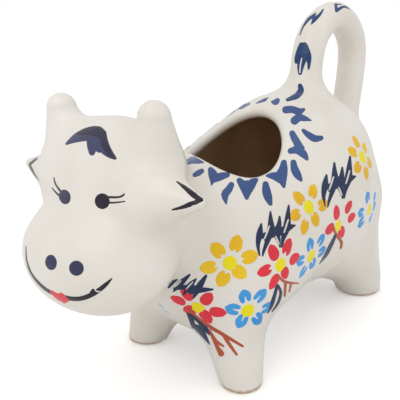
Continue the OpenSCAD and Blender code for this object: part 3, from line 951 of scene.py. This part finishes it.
# One-off marks, as strokes of x, y and brush width in pixels of the 400 by 400 photograph
TUFT = (
    ((259.6, 255.4, 2), (257.9, 245, 4.4), (259.6, 234, 7), (261.3, 224, 2.4)),
    ((262.6, 255.8, 2), (264.4, 248, 4.6), (267.6, 239, 7), (270.9, 229.5, 8),
     (270.6, 220.4, 5.4), (270.4, 212, 2.4)),
    ((280.1, 247.2, 2), (278.4, 240, 4.6), (276.6, 232.6, 8), (279, 225, 5.6), (279.6, 216.6, 2.4)),
    ((281.9, 247, 2), (283, 239, 4.6), (286.2, 229, 7.8), (287.4, 222, 7.2), (288, 214, 5.2),
     (288.7, 205.6, 2.4)),
    ((286, 230, 6.4), (290, 227, 6), (295, 225.4, 2)),
    ((261, 236.5, 5.4), (270, 234.4, 7.8), (279, 232.6, 7.8), (287, 227, 6.4)),
)
TUFT_SLITS = (
    ((269.4, 226, 0.9), (267, 232.5, 1.2), (264.6, 238.4, 0.9)),
    ((264, 241.4, 0.9), (262, 247.6, 1.5), (260.8, 252.6, 0.9)),
    ((288.2, 219.6, 0.9), (286.2, 226, 1.2), (284, 232.4, 0.9)),
    ((275.6, 236.4, 0.8), (277.6, 240.4, 1), (279.2, 244.2, 0.7)),
)
TUFT_C_SHIFT = (60.4, -49)
TUFT_C_EDGE = 295.4
TUFT_C_SQUEEZE = 0.86
TUFT_A = (
    ((168.6, 287.4, 2.6), (171, 283.6, 5), (177, 279.6, 2)),
    ((173.6, 291.4, 2), (180, 284, 6.6), (189.6, 274.8, 2.6)),
    ((183.5, 294.5, 2.8), (189, 286.6, 6.8), (196, 279, 2.2)),
    ((193.2, 298.2, 2.2), (198.4, 288, 7.6), (206, 275.8, 3.2)),
    ((190, 292, 5), (202, 290, 5.8), (212.8, 289.4, 2.2)),
    ((175, 288, 4.4), (184, 287.4, 5.6), (194, 288, 6.4)),
)
TUFT_A_SLITS = (
    ((174, 287.2, 0.6), (177.4, 284.4, 1.2), (181, 280.6, 0.6)),
    ((186, 289.4, 0.6), (189.6, 285.4, 1.1), (193, 281.8, 0.6)),
)
LEAVES = (
    ((187.5, 313, 3), (191.4, 320, 5.4), (193.4, 326.6, 4.6)),
    ((189, 314, 3.4), (197.4, 319.6, 4.8), (205, 328, 5.6), (209.6, 334, 3)),
    ((194, 325.6, 4.6), (200, 330, 7.6), (205, 337, 5), (209.8, 344.6, 1.3)),
    ((277, 285.5, 3.4), (275, 294, 4), (271.5, 305, 4.4), (267.6, 313.4, 1.4)),
    ((278, 285.5, 3), (280.8, 292.6, 3.4), (278, 303, 3.4), (272, 311.6, 1.8)),
    ((336, 234, 3), (332, 243, 4.4), (326, 254.6, 4.4), (319.6, 263.6, 1.4)),
)
BRANCHES = (
    ((186, 307.9, 2.2), (200.5, 320, 3.6), (212, 328, 4), (223.6, 334.8, 4), (242.6, 346.2, 3)),
    ((223.6, 335.2, 4), (229.6, 344.6, 4), (236.6, 354.5, 2.8)),
    ((209.6, 330.6, 3), (215.8, 340.6, 3.6), (223.6, 346.2, 2.4)),
    ((210.6, 333, 3), (216.8, 346, 4.2), (221.2, 353.6, 6.6)),
    ((278.6, 275.7, 2.2), (284.7, 281.8, 3.4), (298.6, 283.4, 2.2)),
    ((285.5, 283.4, 3.4), (284.6, 295.8, 3)),
    ((290.8, 285, 3), (289.2, 291.8, 2.2)),
    ((332.2, 223.7, 2), (336, 234.4, 3.6), (341.4, 242, 3.6), (340.6, 248.2, 2.6)),
)

# The front leaves and the front branch are on the near side alone
FAR_LEAVES = LEAVES[3:]
FAR_BRANCHES = BRANCHES[4:]
RIM_MARKS = (
    ((188.4, 161.8, 6), (192.4, 160, 8), (198, 161.2, 5.6), (203.2, 162.4, 2.2)),
    ((194.6, 175, 5), (198.6, 172.8, 6.4), (201.8, 171, 5.4)),
    ((210.6, 169.6, 6), (213.2, 175.4, 10), (212.4, 181, 5), (211.4, 184.8, 2.2)),
    ((227, 174.6, 6.6), (219.6, 176.8, 8.6), (213.6, 179, 8)),
    ((231.4, 184.8, 6.4), (228.8, 189.4, 7.8), (225, 194.8, 8.2), (226.2, 203.6, 2.4)),
    ((239.4, 180.6, 6.4), (244, 186.6, 9.6), (246.8, 197.6, 5)),
    ((255, 179.6, 7), (250.4, 186, 9.8), (247.2, 196, 5)),
    ((247, 185, 10), (247, 192, 9)),
    ((265.6, 184.2, 6.6), (266.4, 191, 9.2), (268.2, 197.4, 8.8), (270.4, 203.6, 5)),
    ((283.6, 162.4, 6.8), (283.2, 169, 9.6), (281.8, 176, 11.4), (283.8, 186.2, 4.4)),
    ((268.4, 174.8, 6.2), (275, 176, 9), (281, 179.6, 8.8)),
    ((293.4, 162.4, 6.4), (294.6, 169, 8.4), (297.6, 175, 8.2), (301, 180, 4)),
    ((292.2, 133.4, 6.6), (295.2, 139.4, 8), (299.4, 145, 6.8), (303.6, 148.2, 3)),
    ((290.4, 151, 6.4), (297, 150, 8.4), (303.2, 153.8, 8.4), (307, 159, 4)),
    ((296, 142, 6.6), (299.2, 150, 7.4)),
    ((303.4, 130.6, 4.4), (308.4, 134.8, 6.8), (314.8, 138.6, 7.6), (321, 138, 5.6)),
    ((285.8, 109.8, 8), (292, 109.4, 7.8), (299, 111.4, 7.4), (304, 109.4, 3.4)),
    ((294.6, 120.6, 8.8), (299, 117.6, 8), (305, 118.6, 6), (311, 120.4, 2)),
    ((298.6, 112, 5.4), (299.4, 117, 5.6)),
    ((271.2, 101.8, 1.8), (275.4, 102.2, 6.4), (277.6, 100.2, 5.2)),
)
SKY_STROKE = (
    ((157, 301.8, 0.9), (160.6, 305.6, 1.6), (164.6, 308.8, 0.9)),
    ((163.4, 310.6, 0.8), (167, 312, 1.5), (171, 314.6, 0.8)),
)
FORELOCK = (
    ((66.6, 143.8, 3.2), (71.5, 140.6, 6.6), (78.5, 137, 10.8), (88, 134, 14), (98, 132.8, 14)),
    ((98.5, 133, 13), (101.5, 140, 13), (104.6, 148, 12), (109.6, 153.8, 8.8), (115, 158.2, 4)),
    ((91.6, 138, 11), (92, 146, 10.6), (92, 152.4, 7)),
    ((97.6, 142, 10), (99.6, 149, 8.2)),
    ((101, 130.6, 5), (104, 133.6, 4.4)),
)
FORELOCK_DARK = (
    ((75.6, 135.2, 1.6), (82, 132.6, 6), (90, 131.2, 9.6), (98, 132, 12), (101.6, 135, 10)),
    ((102, 133.6, 9.4), (104, 142, 9), (107.6, 150, 8), (112, 155.6, 5.6), (115, 158.2, 3.6)),
)
LEFT_EYE = (((102.2, 200.8, 15.4), (102.4, 201.6, 15.4)),)
RIGHT_EYE = (((64.2, 194.6, 10.6), (64.7, 196.6, 12.4), (65.4, 199.2, 10.6)),)
NOSTRILS = (((50.8, 259.8, 10.6), (51, 262.4, 12.4), (51.4, 265.2, 10.4)),
            ((76.3, 267.9, 15.2), (76.5, 268.5, 15.2)))
LASHES = (
    ((60.3, 191, 2.6), (55.6, 184.2, 2), (53.8, 177.6, 1.5)),
    ((59, 195.4, 2.4), (54.4, 190.9, 1.9), (52.3, 188.1, 1.4)),
    ((108.3, 197.2, 2.8), (118, 197.2, 2.5), (122.6, 195.6, 2.4), (124.2, 193.8, 1.8)),
    ((109.5, 202.8, 2.5), (117, 202.4, 2.1), (124.7, 201.4, 1.7)),
)
SMILE = (((25.9, 246, 1.2), (26.5, 259.4, 2), (30.8, 272.7, 2.8), (39.2, 283.6, 3.4), (50.2, 292.1, 4),
          (68.3, 298.2, 4.7), (80.5, 298.6, 5), (90.2, 295.4, 5.4), (98.6, 290.4, 5.2),
          (106, 284.4, 4.4), (112, 278.4, 1.6)),
         ((91.6, 292.4, 4), (93, 290.2, 3.4)))
SMILE_CRACK = (((95.2, 290, 0.7), (97, 291.6, 0.9), (100, 291.4, 0.6)),)
LIP_SPOT = (
    ((51.6, 291.4, 3.2), (56, 295.4, 5.8), (62, 298.4, 7.4), (67, 300.2, 4.6)),
    ((61, 294.8, 5), (63.4, 298.8, 7.6), (65, 302.6, 2.6)),
)
EAR_MARKS = (
    ((39.9, 156.5, 2), (35, 159.8, 3), (30, 164, 3.2)),
    ((29.8, 165.5, 3), (33.5, 173, 2.8), (39.2, 181, 1.6)),
    ((177, 181.7, 2), (186, 188.4, 5), (194.6, 195.6, 6.6), (201.6, 199.6, 4.4)),
    ((202, 199.8, 3.6), (192, 203.6, 5.6), (182, 207.4, 4.2), (172.5, 209.8, 2.2)),
)
TAIL_MARKS = (
    ((300, 85.8, 5), (300.8, 90.6, 6.8), (297, 95.6, 6.6), (291.4, 98.2, 5.2), (287.4, 99.8, 3.8)),
    ((301.4, 44.8, 5.4), (299.8, 52, 8), (297.4, 58.6, 6.6), (296.2, 62.2, 3.6)),
    ((304.4, 45, 6), (304.5, 53, 9.4), (301, 64, 8), (300, 72.8, 4.8)),
    ((306, 46, 4.4), (308.2, 55, 6.6), (309, 62, 4.6), (308.6, 68.8, 2.4)),
    ((299.8, 35, 1.4), (303.2, 26.6, 2.2), (308.4, 19.4, 3.6), (313.4, 15.6, 3.4), (316, 12.8, 1.4)),
    ((311.4, 24.2, 1.6), (314.4, 19.6, 4.6), (319.4, 15, 3.4), (323.2, 9.4, 2)),
    ((335.6, 4.4, 3), (336.6, 10.6, 3.8)),
    ((336.8, 10.6, 3.6), (341.6, 7.4, 3.2), (345.6, 6.8, 2.4), (349.4, 9.2, 1.3)),
    ((335.6, 4.4, 2.4), (341.4, 4.2, 1.3)),
)
TAIL_SLIT = (((301.8, 58, 0.7), (300.4, 65, 1.1), (299.7, 72.4, 0.9)),)

# Flowers: the pixel of each centre and of each petal that shows
YELLOW_FLOWERS = (
    ((229.9, 263.2), ((236.2, 243.9), (249.5, 256.9), (239.5, 272.2), (222.9, 278.8), (208.6, 267.6),
                      (217.7, 250.2))),
    ((308.9, 207.2), ((299, 198), (313, 191.5), (323, 205), (315.4, 219.4), (304.7, 227),
                      (295.5, 215))),
)
RED_FLOWERS = (
    ((197.8, 308), ((206.6, 299.2), (217.3, 312.2), (205.5, 316), (189.8, 310), (178.3, 300.4),
                    (186.7, 294.6))),
    ((280.6, 265), ((273.7, 253), (287.5, 247.4), (294.4, 258.8), (285.2, 273), (274.5, 281.4),
                    (265.3, 270.7))),
    ((338.2, 226.1), ((336.7, 213), (348.5, 207.2), (351.5, 217.6), (341.5, 232), (330, 229))),
)
BLUE_FLOWERS = (
    ((247.9, 310.7), ((244.9, 296.2), (260.9, 295.4), (267, 307.6), (257.9, 319.1), (241.4, 321.4),
                      (232.6, 309.2))),
    ((311.2, 256.2), ((310.2, 244.5), (321.4, 239.7), (322, 251.4), (312.7, 264), (303, 272),
                      (300.6, 261))),
    ((369.4, 209.6), ((367.8, 197.2), (361, 212.6), (361.2, 222.6), (370.6, 218))),
)
YELLOW_EDGE_FLOWER = (362.5, 157)
PETAL_RING = 5.7
PETALS = 6

# Each petal's width and length against its stamp's, and how far its turn and its size vary
YELLOW_STRETCH = (1.08, 1.1)
EDGE_STRETCH = (1.1, 1.1)
RED_STRETCH = (1.05, 1.15)
BLUE_STRETCH = (0.96, 1.02)
YELLOW_SPREAD = (0.1, 0.06)
RED_SPREAD = (0.18, 0.1)
NOTCHED_SPREAD = (0.1, 0.1)
BLUE_SPREAD = (0.12, 0.06)

# Stamps, in millimetres, with their outer end towards +Y
YELLOW_PETAL = (((0, -0.5, 3.7), (0, 0.4, 3.5), (0, 1.9, 1.2)),)
YELLOW_NOTCH = (((0, -2.7, 1.0), (0, -1.3, 0.12)),)
RED_PETAL = (((0, -0.4, 3.6), (0, 0.6, 3.2), (0.1, 2, 1)),)
RED_NOTCH = (((0.1, -2.5, 1.2), (0, -1.2, 0.2)),)
BLUE_PETAL = (((-1, -1.4, 1.6), (-1.05, 0.2, 2), (0, 1.1, 2.1), (1.05, 0.2, 2), (1, -1.4, 1.6)),
              ((0, 0.2, 1.9), (0, 1.5, 1.7)))
BLUE_SLIT = (((0, -2.6, 0.6), (0, -0.3, 0.25)),)
FLOWER_EYE = (((0, -0.05, 4.3), (0, 0.05, 4.3)),)


def flower_places(flowers, stretch):
    """The petals and the middles of flowers, each as a point, a heading and a stretch."""
    found, middles = [], []
    for centre, petals in flowers:
        middle = seen(centre)[0]
        found += [(p, p - middle, stretch) for p in seen(petals)]
        middles.append((middle, place(0, 0, 1), (1, 1)))
    return found, middles


def opposite(places, middle):
    """Petals out of the photograph's sight, each across the flower from one that shows."""
    across = settle(outer_field, np.array([2 * middle - p for p, _, _ in places]))
    return [(p, p - middle, stretch) for p, (_, _, stretch) in zip(across, places)]


def ring_places(centre, stretch):
    """An even ring of petals round a place on the skin."""
    out = way_out(outer_field, centre[None])[0]
    across, over = square_to(out)
    turns = np.arange(PETALS) * 2 * math.pi / PETALS
    ways = np.cos(turns)[:, None] * over + np.sin(turns)[:, None] * across
    points = settle(outer_field, centre + PETAL_RING * ways)
    return [(p, p - centre, stretch) for p in points]


def squeezed(strokes):
    """The second tuft's strokes as the third shows them, on the turn of the haunch."""
    dx, dy = TUFT_C_SHIFT
    return [[(TUFT_C_EDGE + (x - TUFT_C_EDGE) * TUFT_C_SQUEEZE + dx, y + dy, width)
             for x, y, width in stroke] for stroke in strokes]


def both_sides(places):
    """Places, and the same on the far side."""
    return places + [(p * MIRROR, h * MIRROR, s) for p, h, s in places]


# How finely a drawn mark is cut, in pixels
FINE = 0.5
SKY_STEP = 0.6
NEAT = 0.7
PLAIN = 0.8
ROUND = 0.9
COARSE = 1.0
BROAD = 1.2


def make_marks(skin, skin_tree, group):
    """The painting: drawn marks laid on the skin, and petals stamped on it."""
    tree = wrapping_tree()
    ink = paint_material("cobalt underglaze", "#17325c", "#0b1d3e", group)
    stamp_ink = paint_material("stamped blue", "#486296", "#243f74", group)
    face_ink = paint_material("face ink", "#231d2e", "#181320", group, FACE_FADING)
    thin_ink = paint_material("thinned face ink", "#3d4061", "#2b2c4a", group)
    lock_ink = paint_material("forelock ink", "#40446a", "#303350", group)
    lock_dark = paint_material("forelock shadow ink", "#2c2c45", "#22213a", group)
    tail_ink = paint_material("tail blue", "#1f4c80", "#12305c", group)
    red = paint_material("red underglaze", "#ea3042", "#d02838", group)
    lip = paint_material("lip red", "#e23c4a", "#cf3040", group)
    yellow = paint_material("yellow underglaze", "#f6d21c", "#d8a00c", group)
    heart_yellow = paint_material("flower middle yellow", "#f2e400", "#e6d800", group)
    sky = paint_material("sky blue underglaze", "#45a4e6", "#2f8ad2", group)
    pale_sky = paint_material("thinned sky blue", "#9cc6e8", "#86b6de", group)
    rust = paint_material("rust underglaze", "#bd5a34", "#9c4426", group)

    tuft_c, slits_c = squeezed(TUFT), squeezed(TUFT_SLITS)
    one, over, top = PAINT_LIFT, PAINT_LIFT + OVERLAP_LIFT, PAINT_LIFT + 2 * OVERLAP_LIFT
    drawn_pieces = (
        ("tufts", ((TUFT, TUFT_SLITS), (tuft_c, slits_c), (TUFT_A, TUFT_A_SLITS)), FINE, over, True,
         "cobalt_brushwork", ink),
        ("leaves", ((LEAVES, ()),), PLAIN, over, False, "cobalt_brushwork", ink),
        ("far_leaves", ((FAR_LEAVES, ()),), PLAIN, over, True, "cobalt_brushwork", ink),
        ("rim_marks", ((RIM_MARKS, ()),), COARSE, one, True, "cobalt_brushwork", stamp_ink),
        ("branches", ((BRANCHES, ()),), PLAIN, over, False, "rust_brushwork", rust),
        ("far_branches", ((FAR_BRANCHES, ()),), PLAIN, over, True, "rust_brushwork", rust),
        ("sky_stroke", ((SKY_STROKE, ()),), SKY_STEP, one, False, "sky_brushwork", pale_sky),
        ("forelock", ((FORELOCK, ()),), BROAD, one, False, "cobalt_brushwork", lock_ink),
        ("forelock_strokes", ((FORELOCK_DARK, ()),), COARSE, top, False, "cobalt_brushwork", lock_dark),
        ("left_eye", ((LEFT_EYE, ()),), ROUND, one, False, "cobalt_brushwork", face_ink),
        ("right_eye", ((RIGHT_EYE, ()),), ROUND, one, False, "cobalt_brushwork", thin_ink),
        ("nostrils", ((NOSTRILS, ()),), ROUND, one, False, "cobalt_brushwork", thin_ink),
        ("lashes", ((LASHES, ()),), FINE, one, False, "cobalt_brushwork", face_ink),
        ("smile", ((SMILE, SMILE_CRACK),), NEAT, one, False, "cobalt_brushwork", face_ink),
        ("lip_spot", ((LIP_SPOT, ()),), NEAT, top, False, "red_brushwork", lip),
        ("ear_marks", ((EAR_MARKS, ()),), NEAT, one, False, "cobalt_brushwork", face_ink),
        ("tail_marks", ((TAIL_MARKS, TAIL_SLIT),), NEAT, one, False, "cobalt_brushwork", tail_ink),
    )
    for name, groups, step, lift, mirrored, slot, material in drawn_pieces:
        parts = []
        for strokes, bare in groups:
            parts += drawn(skin_tree, strokes, bare, step, lift, mirrored)
        # A far piece keeps the mirrored half alone
        if name.startswith("far_"):
            parts = parts[1::2]
        finished(joined(name, parts), material)

    marks = {}
    for name, parts, holes in (("yellow_petal", YELLOW_PETAL, YELLOW_NOTCH),
                               ("red_petal", RED_PETAL, ()), ("red_notched", RED_PETAL, RED_NOTCH),
                               ("blue_petal", BLUE_PETAL, BLUE_SLIT), ("flower_eye", FLOWER_EYE, ())):
        marks[name] = stamp(name + "_stamp", brushed(parts, holes)[0])

    yellow_places, yellow_eyes = flower_places(YELLOW_FLOWERS, YELLOW_STRETCH)
    edge_flower = seen(YELLOW_EDGE_FLOWER)[0]
    yellow_places += ring_places(edge_flower, EDGE_STRETCH)
    yellow_eyes.append((edge_flower, place(0, 0, 1), EDGE_STRETCH))
    red_places, red_eyes = flower_places(RED_FLOWERS, RED_STRETCH)
    blue_places, blue_eyes = flower_places(BLUE_FLOWERS, BLUE_STRETCH)
    blue_places += opposite(blue_places[-3:-1], blue_eyes[-1][0])
    wrapped = (
        ("yellow_petals", "yellow_petal", yellow_places, yellow, "yellow_brushwork", YELLOW_SPREAD),
        ("flower_eyes", "flower_eye", yellow_eyes + red_eyes + blue_eyes, heart_yellow,
         "yellow_brushwork", YELLOW_SPREAD),
        ("red_petals", "red_petal", red_places[::2] + red_places[1::4], red, "red_brushwork",
         RED_SPREAD),
        ("notched_red_petals", "red_notched", red_places[3::4], red, "red_brushwork",
         NOTCHED_SPREAD),
        ("blue_petals", "blue_petal", blue_places, sky, "sky_brushwork", BLUE_SPREAD),
    )
    for name, mark, places, material, slot, (turn, size) in wrapped:
        made = stamped(name, tree, skin, marks[mark], material, both_sides(places), turn, size)
        finished(made)
    for mark in marks.values():
        bpy.data.objects.remove(mark)


bpy.context.scene.view_settings.view_transform = "Standard"
glaze = glaze_group("Fired glaze")
skin, skin_tree = make_skin(glaze_material(glaze))
make_marks(skin, skin_tree, glaze)
make_camera()
make_floor()
make_light()
